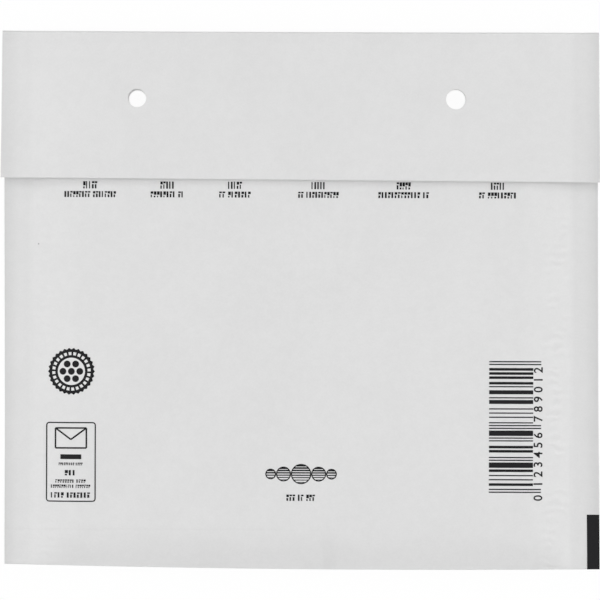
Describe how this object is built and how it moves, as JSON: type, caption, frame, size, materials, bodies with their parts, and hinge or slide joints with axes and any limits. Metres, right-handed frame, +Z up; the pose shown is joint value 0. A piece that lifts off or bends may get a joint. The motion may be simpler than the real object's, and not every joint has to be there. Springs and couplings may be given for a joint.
{
  "type": "padded envelope",
  "caption": "Small white bubble-lined paper mailer with a folded-down self-seal flap and two punched hanging holes, lying flat.",
  "frame": {"origin": "middle of the base, on the surface that the envelope lies on", "axes": "+X across the width to the right, +Y towards the flap's fold, +Z up out of the rear face"},
  "size_m": [0.2012, 0.18, 0.0086],
  "materials": {
    "paper": "matte white kraft paper",
    "bubble_film": "clear polyethylene film",
    "adhesive": "tacky hot-melt",
    "release_paper": "silicone-coated, glossy"
  },
  "bodies": {
    "root": {"outer_envelope": "paper", "bubble_liner": "bubble_film", "adhesive_band": "adhesive", "release_strip": "release_paper"}
  },
  "joints": []
}
